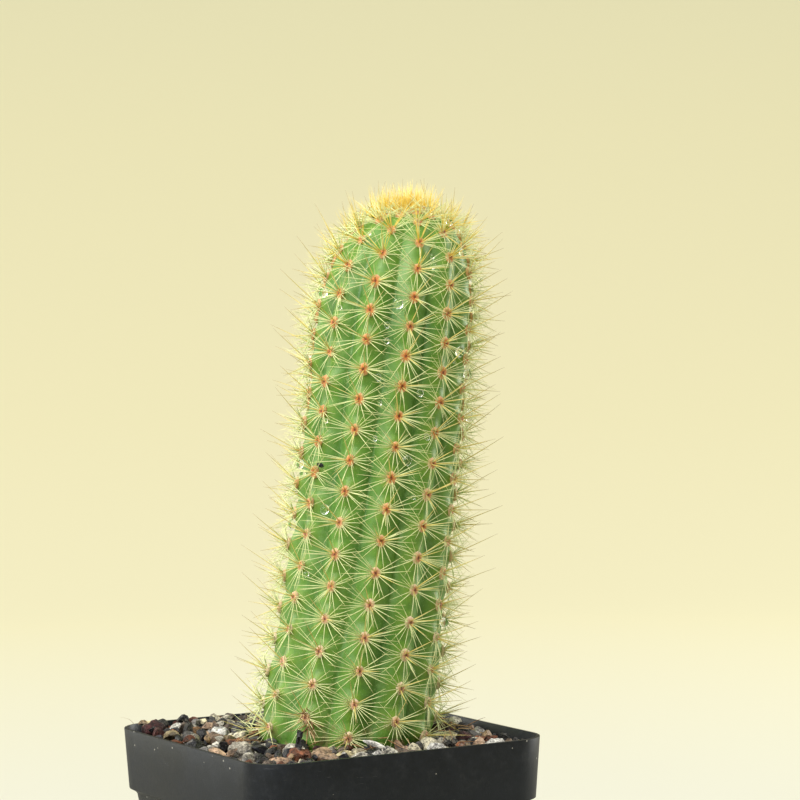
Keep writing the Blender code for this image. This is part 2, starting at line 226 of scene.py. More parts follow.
def copy_of_node(node, name):
    """A copy of a CAD node as one welded skin."""
    piece = new_object(name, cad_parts[node].data.copy())
    select_only(piece)
    edit_all()
    bpy.ops.mesh.remove_doubles(threshold=WELD_REACH)
    edit_done()
    return piece


def joined_copies(placings, name):
    """Copies of shapes, each with its own mesh, joined into one piece. A placing is a matrix, the
    shape, and a shade from 0 to 1 that the copy holds as U, drawn here where none is given."""
    deselect()
    for matrix, model, *shade in placings:
        mesh = model.data.copy()
        mesh.transform(matrix)
        uv = np.empty(len(mesh.loops) * 2, np.float32)
        mesh.uv_layers[0].data.foreach_get("uv", uv)
        uv[0::2] = shade[0] if shade else RNG.random()
        mesh.uv_layers[0].data.foreach_set("uv", uv)
        copy = new_object(name, mesh)
        copy.select_set(True)
    bpy.context.view_layer.objects.active = copy
    bpy.ops.object.join()
    piece = added()
    piece.name = name
    return piece


def finish_piece(piece, material, slot, *nodes):
    piece.data.materials.clear()
    piece.data.materials.append(material)
    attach(piece, "root")
    if nodes:
        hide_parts(*nodes)


def remove(*models):
    for model in models:
        bpy.data.objects.remove(model, do_unlink=True)


# ---- Material helpers ----


def put(tree, socket, value):
    """Links a socket, or sets its value."""
    if isinstance(value, bpy.types.NodeSocket):
        tree.links.new(value, socket)
    elif isinstance(value, tuple) and len(value) == 3 and socket.type == "RGBA":
        socket.default_value = (*value, 1.0)
    else:
        socket.default_value = value


def node(tree, kind, inputs=None, **settings):
    made = tree.nodes.new("ShaderNode" + kind)
    for key, value in settings.items():
        setattr(made, key, value)
    for key, value in (inputs or {}).items():
        put(tree, made.inputs[key], value)
    return made


def set_inputs(made, **inputs):
    """Links or sets the inputs of a node by name, with _ for a space."""
    for key, value in inputs.items():
        put(made.id_data, made.inputs[key.replace("_", " ")], value)


def mix(tree, factor, first, second, blend="MIX"):
    made = node(tree, "Mix", data_type="RGBA", blend_type=blend)
    put(tree, made.inputs[0], factor)
    put(tree, made.inputs[6], first)
    put(tree, made.inputs[7], second)
    return made.outputs[2]


def maths(tree, operation, first, second=0.0, clamp=False):
    made = node(tree, "Math", operation=operation, use_clamp=clamp)
    put(tree, made.inputs[0], first)
    put(tree, made.inputs[1], second)
    return made.outputs[0]


def times(tree, first, second):
    return maths(tree, "MULTIPLY", first, second)


def mix_values(tree, share, first, second):
    """The two values added, with this share of the second."""
    return maths(tree, "ADD", times(tree, first, 1 - share), times(tree, second, share))


def ranged(tree, value, low, high, to_low=0.0, to_high=1.0, smoothed=False):
    settings = {"interpolation_type": "SMOOTHSTEP"} if smoothed else {}
    inputs = {"Value": value, "From Min": low, "From Max": high, "To Min": to_low, "To Max": to_high}
    return node(tree, "MapRange", inputs, **settings).outputs[0]


def ramp(tree, value, *stops):
    """A colour for each value, through (value, colour) stops."""
    made = node(tree, "ValToRGB", {"Fac": value})
    elements = made.color_ramp.elements
    while len(elements) < len(stops):
        elements.new(0.5)
    for element, (place, colour) in zip(elements, stops):
        element.position = place
        element.color = (*colour, 1.0)
    return made.outputs["Color"]


def noise_value(tree, place, scale, detail=3.0, roughness=0.55, distortion=0.0):
    inputs = {"Vector": place, "Scale": scale, "Detail": detail, "Roughness": roughness}
    return node(tree, "TexNoise", inputs | {"Distortion": distortion}).outputs[0]


def object_place(tree):
    return node(tree, "TexCoord").outputs["Object"]


def height_of(tree, place):
    return node(tree, "SeparateXYZ", {"Vector": place}).outputs["Z"]


def own_uv(tree):
    """The piece's UV map as two values, X for the copy's shade and Y along or across it."""
    return node(tree, "SeparateXYZ", {"Vector": node(tree, "UVMap").outputs["UV"]}).outputs


def attribute(tree, name):
    return node(tree, "Attribute", attribute_name=name).outputs["Fac"]


def bump(tree, height, strength, distance):
    inputs = {"Height": height, "Strength": strength, "Distance": distance}
    return node(tree, "Bump", inputs).outputs["Normal"]


def new_material(name, **sockets):
    """A material, its tree and its shader, with these values set on the shader."""
    material = bpy.data.materials.new(name)
    material.use_nodes = True
    tree = material.node_tree
    shader = tree.nodes["Principled BSDF"]
    set_inputs(shader, **sockets)
    return material, tree, shader


def new_group(name, inputs, outputs):
    """An empty shader group with named sockets, and the kind of each."""
    tree = bpy.data.node_groups.new(name, "ShaderNodeTree")
    for way, sockets in (("INPUT", inputs), ("OUTPUT", outputs)):
        for label, kind in sockets.items():
            tree.interface.new_socket(label, in_out=way, socket_type="NodeSocket" + kind)
    return tree, tree.nodes.new("NodeGroupInput").outputs, tree.nodes.new("NodeGroupOutput").inputs


def place_group(tree, group, **inputs):
    made = tree.nodes.new("ShaderNodeGroup")
    made.node_tree = group
    set_inputs(made, **inputs)
    return made.outputs


def make_two_tone_group():
    """Patches of two colours, with finer mottling over them."""
    inputs = {"Vector": "Vector", "Light": "Color", "Dark": "Color"}
    inputs |= {"Patch Scale": "Float", "Fine Scale": "Float"}
    tree, given, out = new_group("two_tone", inputs, {"Color": "Color", "Value": "Float"})
    patches = noise_value(tree, given["Vector"], given["Patch Scale"], 4.0, 0.6, 0.4)
    fine = noise_value(tree, given["Vector"], given["Fine Scale"], 3.0, 0.7)
    both = mix_values(tree, 0.38, patches, fine)
    share = ranged(tree, both, 0.36, 0.64, smoothed=True)
    tree.links.new(mix(tree, share, given["Dark"], given["Light"]), out["Color"])
    tree.links.new(share, out["Value"])
    return tree


def make_specks_group():
    """Small bright or dark specks, as of dust, pores or stomata."""
    inputs = {"Vector": "Vector", "Scale": "Float", "Size": "Float", "Share": "Float"}
    tree, given, out = new_group("specks", inputs, {"Mask": "Float"})
    cells = node(tree, "TexVoronoi", {"Vector": given["Vector"], "Scale": given["Scale"]})
    dot = maths(tree, "LESS_THAN", cells.outputs["Distance"], given["Size"])
    pick = node(tree, "SeparateColor", {"Color": cells.outputs["Color"]}).outputs[0]
    kept = maths(tree, "LESS_THAN", pick, given["Share"])
    tree.links.new(times(tree, dot, kept), out["Mask"])
    return tree


TWO_TONE = make_two_tone_group()
SPECKS = make_specks_group()


# ---- Stem ----


def stem_section(share):
    """Height and crest radius at a share of the way from the root's tip, 0, to the apex, 1."""
    dome_start = APEX_HEIGHT - DOME_HEIGHT
    if share < ROOT_SHARE:
        turn = math.pi / 2 * share / ROOT_SHARE
        height = MIX_LEVEL - ROOT_DEPTH * math.cos(turn)
        return height, ROOT_NECK_RADIUS * math.sin(turn) ** 0.8
    if share < DOME_SHARE:
        turn = 0.0
        height = MIX_LEVEL + (dome_start - MIX_LEVEL) * (share - ROOT_SHARE) / (DOME_SHARE - ROOT_SHARE)
    else:
        turn = math.pi / 2 * (share - DOME_SHARE) / (1 - DOME_SHARE)
        height = dome_start + DOME_HEIGHT * math.sin(turn) ** (2 / DOME_POWER)
    flare = STEM_FLARE * math.exp(-max(0.0, height - RIM_HEIGHT) / STEM_FLARE_HEIGHT)
    neck = min(1.0, (height - MIX_LEVEL) / (RIM_HEIGHT - MIX_LEVEL))
    radius = ROOT_NECK_RADIUS + (STEM_RADIUS + flare - ROOT_NECK_RADIUS) * math.sqrt(neck)
    return height, radius * max(0.0, math.cos(turn)) ** (2 / DOME_POWER)


SECTIONS = np.array([stem_section(share) for share in np.linspace(0, 1, 3001)])
HEIGHTS, RADII = SECTIONS[:, 0], SECTIONS[:, 1]
STEPS = np.hypot(np.diff(HEIGHTS), np.diff(RADII))
ALONG = np.concatenate([[0], np.cumsum(STEPS)])
ALONG -= np.interp(RIM_HEIGHT, HEIGHTS, ALONG)
APEX_ALONG = ALONG[-1]


def areole_number(along):
    """The number, with its fraction, of the areole at an arc length on the rib of stagger 0."""
    inside = AREOLE_PITCH**2 - 4 * AREOLE_SHRINK * (along - AREOLE_FIRST)
    return (AREOLE_PITCH - np.sqrt(inside)) / (2 * AREOLE_SHRINK)


def areole_along(number):
    return AREOLE_FIRST + AREOLE_PITCH * number - AREOLE_SHRINK * number**2


def rib_stagger(rib):
    return AREOLE_STAGGER * (rib + 1)


def skin_features(along, side):
    """How far out the skin lies between groove, 0, and crest, 1, how near the next areole it is,
    and how ribbed the stem is there."""
    radius = np.interp(along, ALONG, RADII)
    height = np.interp(along, ALONG, HEIGHTS)
    ribbed = np.clip(radius / STEM_RADIUS, 0, 1) ** 2
    ribbed = ribbed * np.clip((height - MIX_LEVEL) / 0.004, 0, 1)
    rib = np.round(side)
    from_crest = np.abs(side - rib) * 2
    number = areole_number(along) - rib_stagger(rib)
    away = (number - np.round(number)) * AREOLE_PITCH
    near = np.exp(-((away / AREOLE_BULGE_REACH) ** 2)) * np.exp(-((from_crest / 0.42) ** 2))
    above = (number - np.floor(number) - 0.45) * AREOLE_PITCH
    crease = np.exp(-((above / CREASE_REACH) ** 2)) * np.exp(-((from_crest / 0.5) ** 2))
    return from_crest, near * ribbed, crease * ribbed, ribbed


def skin_points(along, side):
    """Points of the skin at arc lengths up the stem and rib numbers round it."""
    along, side = np.asarray(along, float), np.asarray(side, float)
    height = np.interp(along, ALONG, HEIGHTS)
    radius = np.interp(along, ALONG, RADII)
    from_crest, near, crease, ribbed = skin_features(along, side)
    radius = radius - RIB_DEPTH * ribbed * from_crest**1.7
    radius = radius + AREOLE_BULGE * near - CREASE_DEPTH * crease
    swell = np.sin(along * 210 + side * 2.1) + np.sin(along * 347 - side * 3.7 + 1.3)
    radius = radius + SKIN_UNEVENNESS * swell * ribbed
    rise = height - RIM_HEIGHT
    in_dome = np.clip(1 + (height - APEX_HEIGHT) / DOME_HEIGHT, 0, None)
    waver = RIB_WAVER * np.sin(along * 95 + np.round(side) * 2.4) * ribbed
    turn = np.radians(RIB_START_DEG + RIB_TWIST_DEG * rise) + (side + waver) / RIBS * 2 * math.pi
    terms = zip(STEM_FOOT, STEM_LEAN, STEM_BEND, STEM_TIP_SHIFT)
    x, y = (foot + lean * rise + bend * rise**2 + tip * in_dome**2 for foot, lean, bend, tip in terms)
    return np.stack([x + radius * np.cos(turn), y + radius * np.sin(turn), height], -1)


def skin_frame(along, side):
    """A spot on the skin: its place, and the directions up the rib, across it and outward."""
    place = Vector(skin_points(along, side))
    step = 0.0012
    up = Vector(skin_points(along + step, side)) - Vector(skin_points(along - step, side))
    across = Vector(skin_points(along, side + 0.06)) - Vector(skin_points(along, side - 0.06))
    up.normalize()
    outward = across.cross(up).normalized()
    return place, up, up.cross(outward).normalized(), outward


def skin_matrix(spot, size, lift=0.0):
    """Sets a shape one metre across on the skin: its X across the rib, Y up it and Z outward."""
    place, up, across, outward = spot
    facing = Matrix((across, up, outward)).transposed().to_4x4()
    return Matrix.Translation(place + outward * lift) @ facing @ Matrix.Diagonal((*size, 1))


def set_attribute(mesh, name, values):
    layer = mesh.attributes.new(name, "FLOAT", "POINT")
    layer.data.foreach_set("value", np.asarray(values, np.float32))


def make_skin():
    """The ribbed skin, drawn out from a sphere ring by ring."""
    deselect()
    bpy.ops.mesh.primitive_uv_sphere_add(segments=SKIN_SIDES, ring_count=SKIN_RINGS, radius=1.0)
    skin = added()
    skin.name = "cactus_skin"
    points = np.empty(len(skin.data.vertices) * 3)
    skin.data.vertices.foreach_get("co", points)
    points = points.reshape(-1, 3)
    share = 1 - np.arccos(np.clip(points[:, 2], -1, 1)) / math.pi
    side = np.arctan2(points[:, 1], points[:, 0]) / (2 * math.pi) * RIBS
    along = ALONG[0] + (APEX_ALONG - ALONG[0]) * share
    made = skin_points(along, side)
    skin.data.vertices.foreach_set("co", made.astype(np.float32).ravel())
    from_crest, near, crease, ribbed = skin_features(along, side)
    set_attribute(skin.data, "groove", from_crest * ribbed)
    set_attribute(skin.data, "areole_near", near)
    set_attribute(skin.data, "crease", crease)
    skin.data.update()
    face_out(skin)
    smooth(skin)
    finish_piece(skin, skin_material(), "cactus_skin", "cactus")


def skin_material():
    """Waxy green skin: lighter and yellower on the crests and darker down in the grooves, as painted light
    and shade, with a pale bloom.
    """
    material, tree, shader = new_material("waxy_cactus_skin", Coat_Roughness=0.32)
    place = object_place(tree)
    groove = attribute(tree, "groove")
    near = attribute(tree, "areole_near")
    crease = attribute(tree, "crease")
    broad = noise_value(tree, place, 55.0, 3.0, 0.5)
    fine = noise_value(tree, place, 480.0, 5.0, 0.72)
    # Painted light and shade: the green is lightest on the crests and darkest down in the grooves.
    green = ramp(
        tree,
        groove,
        (0.0, (0.158, 0.350, 0.028)),
        (0.45, (0.108, 0.282, 0.027)),
        (1.0, (0.038, 0.155, 0.018)),
    )
    green = mix(tree, ranged(tree, broad, 0.38, 0.66, 0.0, 0.55), green, (0.185, 0.365, 0.045))
    green = mix(tree, ranged(tree, fine, 0.42, 0.64, 0.0, 0.50), green, (0.062, 0.225, 0.030))
    bloom = times(tree, ranged(tree, fine, 0.45, 0.7), ranged(tree, groove, 0.25, 0.8))
    green = mix(tree, times(tree, bloom, 0.42), green, (0.290, 0.460, 0.170))
    green = mix(tree, times(tree, near, 0.55), green, (0.300, 0.360, 0.060))
    # Painted shade: darker green in the crease above each areole.
    green = mix(tree, times(tree, crease, 0.35), green, (0.060, 0.170, 0.030))
    stomata = place_group(tree, SPECKS, Vector=place, Scale=1900.0, Size=0.24, Share=0.55)["Mask"]
    green = mix(tree, times(tree, stomata, 0.36), green, (0.360, 0.520, 0.160))
    height = height_of(tree, place)
    low = ranged(tree, height, RIM_HEIGHT - 0.004, RIM_HEIGHT + 0.010, 1.0, 0.0, smoothed=True)
    patchy = ranged(tree, noise_value(tree, place, 260.0, 5.0, 0.7), 0.50, 0.62)
    cork = times(tree, low, patchy)
    green = mix(tree, times(tree, cork, 0.75), green, (0.330, 0.235, 0.120))
    relief = maths(tree, "ADD", fine, times(tree, stomata, -0.35))
    set_inputs(
        shader,
        Base_Color=green,
        Roughness=ranged(tree, fine, 0.3, 0.7, 0.36, 0.52),
        Coat_Weight=ranged(tree, broad, 0.35, 0.65, 0.10, 0.30),
        Normal=bump(tree, relief, 0.55, 0.00030),
    )
    return material


# ---- Areoles and spines ----


def areole_places():
    """Rib and arc length of every areole below the crown."""
    low = np.interp(MIX_LEVEL + LOWEST_AREOLE, HEIGHTS, ALONG)
    for rib in range(RIBS):
        for index in range(-7, 22):
            along = areole_along(index + rib_stagger(rib))
            if low < along < APEX_ALONG - CROWN_REACH:
                yield rib, along


def areole_size(scale):
    return AREOLE_WIDTH * scale, AREOLE_LENGTH * scale, AREOLE_THICKNESS


def cushion_model():
    """One felt cushion, its pit at the top. U is set for each copy, and V runs from pit to rim."""
    deselect()
    bpy.ops.mesh.primitive_uv_sphere_add(segments=8, ring_count=6, radius=0.5)
    cushion = added()
    for v in cushion.data.vertices:
        out = v.co.xy.length * 2
        pit = 0.42 * math.exp(-((out / 0.42) ** 2)) if v.co.z > 0 else 0.0
        lumps = 1 + 0.16 * noise.noise(v.co * 4.1)
        v.co = Vector((v.co.x * lumps, v.co.y * lumps, v.co.z * lumps - pit * 0.5))
    layer = cushion.data.uv_layers[0]
    for loop in cushion.data.loops:
        out = cushion.data.vertices[loop.vertex_index].co.xy.length * 2
        layer.data[loop.index].uv = (0.0, min(1.0, out))
    cushion.data.shade_smooth()
    return cushion


def spine_model(length, radius, bend, sides, steps, tip_share):
    """One spine from the origin along +Z, drawn out step by step and bent towards +X."""
    deselect()
    bpy.ops.mesh.primitive_circle_add(vertices=sides, radius=radius, fill_type="NGON")
    spine = added()
    edit_all()
    rise = length / steps
    width = 1.0
    for step in range(1, steps + 1):
        share = step / steps
        lean = bend * (share**2 - ((step - 1) / steps) ** 2)
        bpy.ops.mesh.extrude_region_move(TRANSFORM_OT_translate={"value": (lean, 0, rise)})
        wanted = 1 - (1 - tip_share) * share**1.4
        scale = wanted / width
        centre = (bend * share**2, 0, length * share)
        bpy.ops.transform.resize(value=(scale, scale, 1), center_override=centre)
        width = wanted
    edit_done()
    face_out(spine)
    mesh = spine.data
    layer = mesh.uv_layers[0]
    for loop in mesh.loops:
        layer.data[loop.index].uv = (0.5, mesh.vertices[loop.vertex_index].co.z / length)
    mesh.shade_smooth()
    return spine


def spine_matrix(root, direction, bend_to, length_scale, width_scale):
    """Places a spine model at its root, along a direction, its bend towards another."""
    z = direction.normalized()
    y = z.cross(bend_to).normalized()
    x = y.cross(z)
    turned = Matrix((x, y, z)).transposed().to_4x4()
    sized = Matrix.Diagonal((width_scale, width_scale, length_scale, 1.0))
    return Matrix.Translation(root) @ turned @ sized


def radial_fan():
    """Angle from straight up the rib, length and lift of each radial spine of one areole."""
    fan = []
    for turn in (50, 62, 74, 85, 96, 108, 122):
        for hand in (-1, 1):
            if RNG.random() < 0.92:
                length = RNG.uniform(0.0082, 0.0108)
                fan.append((hand * (turn + RNG.uniform(-5, 5)), length, RNG.uniform(17, 36)))
    for turn in (145, 172, 188, 214):
        if RNG.random() < 0.85:
            fan.append((turn + RNG.uniform(-8, 8), RNG.uniform(0.0070, 0.0096), RNG.uniform(12, 32)))
    for turn in (-24, 24):
        if RNG.random() < 0.35:
            fan.append((turn + RNG.uniform(-10, 10), RNG.uniform(0.0040, 0.0058), RNG.uniform(20, 34)))
    return fan


def central_set():
    """Angle, length and lift of the stout spines of one areole."""
    found = [(RNG.uniform(-28, 28), RNG.uniform(0.0110, 0.0148), RNG.uniform(48, 68))]
    found.append((180 + RNG.uniform(-55, 55), RNG.uniform(0.0068, 0.0098), RNG.uniform(54, 80)))
    for hand in (-1, 1):
        if RNG.random() < 0.70:
            turn = hand * RNG.uniform(40, 105)
            found.append((turn, RNG.uniform(0.0078, 0.0118), RNG.uniform(42, 70)))
    return found


def fringe_set():
    """Angle, length and lift of the fine spines that stand between the radials and the centrals."""
    ranges = ((0, 360), (0.0055, 0.0095), (36, 72))
    return [[RNG.uniform(*ends) for ends in ranges] for _ in range(FRINGE_SPINES)]


def placed_spine(spot, wanted, models, model_length, widths, stand, pressed=False):
    """Places one spine, wanted as turn, length and lift, this far out from the middle of its
    areole. It bends outward along the skin, or towards it where it is pressed."""
    place, up, across, outward = spot
    turn, length, lift = math.radians(wanted[0]), wanted[1], math.radians(wanted[2])
    flat = up * math.cos(turn) + across * math.sin(turn)
    direction = flat * math.cos(lift) + outward * math.sin(lift)
    root = place + flat * stand + outward * (0.0001 if pressed else 0)
    bend_to = -outward if pressed else flat
    matrix = spine_matrix(root, direction, bend_to, length / model_length, RNG.uniform(*widths))
    return matrix, RNG.choice(models)


def make_areoles_and_spines():
    cushion = cushion_model()
    radials = [
        spine_model(RADIAL_LENGTH, RADIAL_RADIUS, bend, 4, 3, 0.16) for bend in (0.0002, 0.0006, 0.0010)
    ]
    centrals = [
        spine_model(CENTRAL_LENGTH, CENTRAL_RADIUS, bend, 5, 4, 0.12) for bend in (-0.0004, 0.0003)
    ]
    felt = felt_material()
    tones = ((0.84, 0.68, 0.19), (0.90, 0.96, 0.52), (0.97, 0.91, 0.41))
    pale = spine_material("pale_radial_spines", *tones)
    tones = ((0.60, 0.34, 0.06), (0.88, 0.74, 0.25), (0.34, 0.24, 0.10))
    golden = spine_material("golden_central_spines", *tones)
    cushions = []
    by_rib = {rib: ([], []) for rib in range(RIBS)}
    for rib, along in areole_places():
        spot = skin_frame(along, rib)
        cushions.append((skin_matrix(spot, areole_size(RNG.uniform(0.88, 1.12))), cushion, RNG.random()))
        radial_list, central_list = by_rib[rib]
        for wanted in radial_fan():
            radial_list.append(placed_spine(spot, wanted, radials, RADIAL_LENGTH, (0.9, 1.2), 0.0004, True))
        reach = CENTRAL_LENGTH / (0.80 if along > APEX_ALONG - CROWN_SKIRT * 0.6 else 1.0)
        for wanted in central_set():
            central_list.append(placed_spine(spot, wanted, centrals, reach, (0.85, 1.15), 0.0002))
        for wanted in fringe_set():
            radial_list.append(placed_spine(spot, wanted, radials, RADIAL_LENGTH, (0.8, 1.0), 0.0004))
    finish_piece(joined_copies(cushions, "areole_cushions"), felt, "areole_felt")
    for rib, (radial_list, central_list) in by_rib.items():
        piece = joined_copies(radial_list, f"radial_spines_rib_{rib + 1:02d}")
        finish_piece(piece, pale, "radial_spine")
        piece = joined_copies(central_list, f"central_spines_rib_{rib + 1:02d}")
        finish_piece(piece, golden, "central_spine")
    make_crown(cushion, felt)
    remove(cushion, *radials, *centrals)


def make_crown(cushion, felt):
    """The growing tip: small crowded areoles under a dense upright tuft, and a golden skirt of
    longer young spines round it."""
    models = [spine_model(CROWN_LENGTH, CROWN_SPINE_RADIUS, bend, 4, 3, 0.14) for bend in (0.0003, 0.0009)]
    yellow = spine_material("crown_spines", (0.76, 0.31, 0.02), (0.99, 0.73, 0.11), (0.99, 0.87, 0.36))
    cushions, spines = [], []
    for index in range(CROWN_BUNDLES):
        out = math.sqrt((index + 0.5) / CROWN_BUNDLES)
        along = APEX_ALONG - CROWN_REACH * out - 0.0003
        side = index * GOLDEN_TURN / (2 * math.pi) * RIBS
        place, up, _, outward = spot = skin_frame(along, side)
        cushions.append((skin_matrix(spot, areole_size(0.45 + 0.30 * out)), cushion, RNG.random()))
        for _ in range(CROWN_BUNDLE_SPINES):
            lean = Vector((RNG.gauss(0, 0.24), RNG.gauss(0, 0.24), 0))
            upright = Vector((0, 0, 1.3 - 0.4 * out))
            direction = upright + outward * 0.60 * out + up * 0.20 * (1 - out) + lean
            length = RNG.triangular(0.34, 1.16, 0.74) * (1.0 - 0.10 * out)
            matrix = spine_matrix(place, direction, outward + lean, length, RNG.uniform(0.85, 1.2))
            spines.append((matrix, RNG.choice(models)))
    for rib, along in areole_places():
        depth = (APEX_ALONG - along) / CROWN_SKIRT
        if depth > 1:
            continue
        spot = skin_frame(along, rib)
        for _ in range(round(15 * (1.1 - depth))):
            turn, lift, length = RNG.gauss(0, 75), RNG.uniform(28, 78), RNG.uniform(0.75, 1.15)
            spines.append(placed_spine(spot, (turn, length, lift), models, 1.0, (0.8, 1.1), 0.0003))
    finish_piece(joined_copies(cushions, "crown_cushions"), felt, "areole_felt")
    finish_piece(joined_copies(spines, "crown_spines"), yellow, "central_spine")
    remove(*models)


def felt_material():
    """Short felt: a pale rim round an orange-brown middle, paler on old areoles low down."""
    material, tree, shader = new_material("areole_felt", Roughness=0.95, Sheen_Weight=0.4)
    place = object_place(tree)
    uv = own_uv(tree)
    grain = noise_value(tree, place, 2600.0, 3.0, 0.7)
    height = height_of(tree, place)
    out = maths(tree, "ADD", uv["Y"], ranged(tree, grain, 0.0, 1.0, -0.25, 0.25))
    young = ramp(
        tree, out, (0.12, (0.190, 0.045, 0.014)), (0.34, (0.66, 0.225, 0.050)), (0.85, (0.82, 0.44, 0.19))
    )
    old = ramp(
        tree, out, (0.12, (0.130, 0.045, 0.022)), (0.34, (0.70, 0.34, 0.18)), (0.85, (0.90, 0.70, 0.50))
    )
    lower = ranged(tree, height, RIM_HEIGHT + 0.015, RIM_HEIGHT + 0.085, 1.0, 0.0)
    lower = maths(tree, "ADD", lower, ranged(tree, uv["X"], 0.0, 1.0, -0.2, 0.2), clamp=True)
    felt = mix(tree, lower, young, old)
    set_inputs(shader, Base_Color=felt, Normal=bump(tree, grain, 0.8, 0.0004))
    return material


def spine_material(name, root, middle, tip):
    """Horny spines, coloured from root to tip, each a little unlike the next."""
    material, tree, shader = new_material(name, Roughness=0.38)
    uv = own_uv(tree)
    colour = ramp(tree, uv["Y"], (0.0, root), (0.12, middle), (0.60, middle), (1.0, tip))
    shade = ranged(tree, uv["X"], 0.0, 1.0, 0.84, 1.0)
    grey = node(tree, "CombineColor", {0: shade, 1: shade, 2: shade}).outputs[0]
    set_inputs(shader, Base_Color=mix(tree, 1.0, colour, grey, "MULTIPLY"))
    return material


# ---- Water drops ----


def make_drops():
    """Clear drops caught between spines and skin, most of them high up."""
    deselect()
    bpy.ops.mesh.primitive_uv_sphere_add(segments=16, ring_count=10, radius=0.5)
    model = added()
    model.data.shade_smooth()
    placings = []
    for _ in range(DROP_COUNT):
        along = APEX_ALONG * (0.15 + 0.80 * math.sqrt(RNG.random()))
        side = RNG.randrange(RIBS) + RNG.choice((-1, 1)) * RNG.uniform(0.16, 0.45)
        size = RNG.choice(DROP_SIZES)
        lift = size * 0.45 + RNG.uniform(*DROP_LIFTS)
        shape = (size, size * 1.08, size * 0.86)
        placings.append((skin_matrix(skin_frame(along, side), shape, lift), model, 0.5))
    drops = joined_copies(placings, "water_drops")
    remove(model)
    material, _, _ = new_material(
        "clear_water", Base_Color=(1.0, 1.0, 1.0), Roughness=0.02, IOR=1.33, Transmission_Weight=1.0
    )
    finish_piece(drops, material, "water")


# ---- Gravel ----

# Tones of each kind, from one stone to the next.
STONE_TONES = {
    "pumice": ((0.60, 0.56, 0.47), (0.84, 0.81, 0.71), (0.80, 0.72, 0.47), (0.94, 0.93, 0.89)),
    "lava": ((0.075, 0.018, 0.020), (0.130, 0.036, 0.026), (0.42, 0.16, 0.065), (0.20, 0.070, 0.045)),
    "granite": ((0.045, 0.045, 0.052), (0.26, 0.25, 0.24), (0.28, 0.18, 0.11), (0.10, 0.098, 0.105)),
    "charcoal": ((0.005, 0.005, 0.007), (0.012, 0.013, 0.020), (0.024, 0.027, 0.044), (0.009, 0.011, 0.010)),
    "flint": ((0.28, 0.14, 0.055), (0.66, 0.45, 0.31), (0.42, 0.29, 0.16), (0.78, 0.70, 0.42)),
}
# Scale of patches, scale of mottling, roughness, and relief in metres.
STONE_LOOKS = {
    "pumice": (300.0, 1500.0, 0.92, 0.00030),
    "lava": (380.0, 1400.0, 0.90, 0.00038),
    "granite": (450.0, 2000.0, 0.80, 0.00022),
    "charcoal": (300.0, 1700.0, 0.46, 0.00026),
    "flint": (260.0, 1300.0, 0.62, 0.00016),
}
DUST = (0.50, 0.46, 0.40)
# Place in its kind's tones, from 0 to 1, of each stone that shows most.
STONE_SHADES = {"lava_01": 0.0, "charcoal_01": 0.0, "flint_01": 0.95, "pumice_01": 1.0, "pumice_02": 0.66}
STONE_SHADES |= {"granite_01": 0.70, "flint_02": 0.38, "lava_02": 0.66, "pumice_03": 0.66}
STONE_SHADES |= {"flint_03": 0.33, "granite_02": 0.35, "pumice_05": 1.0, "pumice_06": 1.0}
STONE_MATERIALS = {}


def stone_material(kind):
    """Broken stone: one tone for each stone, mottled and pored, with its low patches and pores darkened as
    painted shade, and pale dust.
    """
    patch_scale, fine_scale, roughness, relief = STONE_LOOKS[kind]
    material, tree, shader = new_material(kind + "_stone")
    place = object_place(tree)
    uv = own_uv(tree)
    tone = ramp(tree, uv["X"], *((index / 3, colour) for index, colour in enumerate(STONE_TONES[kind])))
    # The dark tone is painted shade: the mottle's dark patches are the low ones in the relief, partly the
    # stone's own mottling, and the pores are painted with it.
    dark = mix(tree, 1.0, tone, (0.11, 0.105, 0.11), "MULTIPLY")
    scales = {"Patch_Scale": patch_scale, "Fine_Scale": fine_scale}
    mottle = place_group(tree, TWO_TONE, Vector=place, Light=tone, Dark=dark, **scales)
    pores = place_group(tree, SPECKS, Vector=place, Scale=fine_scale * 0.9, Size=0.36, Share=0.45)["Mask"]
    colour = mix(tree, times(tree, pores, 0.70), mottle["Color"], dark)
    powder = noise_value(tree, place, 520.0, 5.0, 0.7, 0.6)
    colour = mix(tree, ranged(tree, powder, 0.58, 0.68, 0.0, 0.34), colour, DUST)
    rough = ranged(tree, mottle["Value"], 0.0, 1.0, roughness - 0.18, roughness)
    height = maths(tree, "SUBTRACT", mottle["Value"], times(tree, pores, 0.8))
    set_inputs(shader, Base_Color=colour, Roughness=rough, Normal=bump(tree, height, 1.0, relief))
    return material


def finish_stones():
    """Each stone of the top dressing, with a broken, faceted surface."""
    for name in sorted(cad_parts):
        kind = name.split("_")[0]
        if kind not in STONE_LOOKS:
            continue
        stone = copy_of_node(name, name + "_stone")
        apply_modifier(stone, "SUBSURF", subdivision_type="SIMPLE", levels=2, render_levels=2)
        rough = STONE_LOOKS[kind][3]
        seed = Vector((len(name) * 3.1, hash_number(name) * 0.37, 1.7))
        normals = [n.vector.copy() for n in stone.data.vertex_normals]
        for v, normal in zip(stone.data.vertices, normals):
            chipped = noise.voronoi(v.co * 420 + seed)[0][0] - 0.45
            fine = noise.fractal(v.co * 1100 + seed, 0.7, 2.1, 2)
            v.co += normal * rough * (3.2 * chipped + 0.7 * fine)
        layer = stone.data.uv_layers.new(name="UVMap")
        shade = STONE_SHADES.get(name, (hash_number(name) % 17) / 16)
        layer.data.foreach_set("uv", np.tile((shade, 0.5), len(stone.data.loops)).astype(np.float32))
        smooth(stone, 24)
        finish_piece(stone, STONE_MATERIALS[kind], kind, name)


def hash_number(name):
    return sum((place + 1) * ord(letter) for place, letter in enumerate(name)) % 997


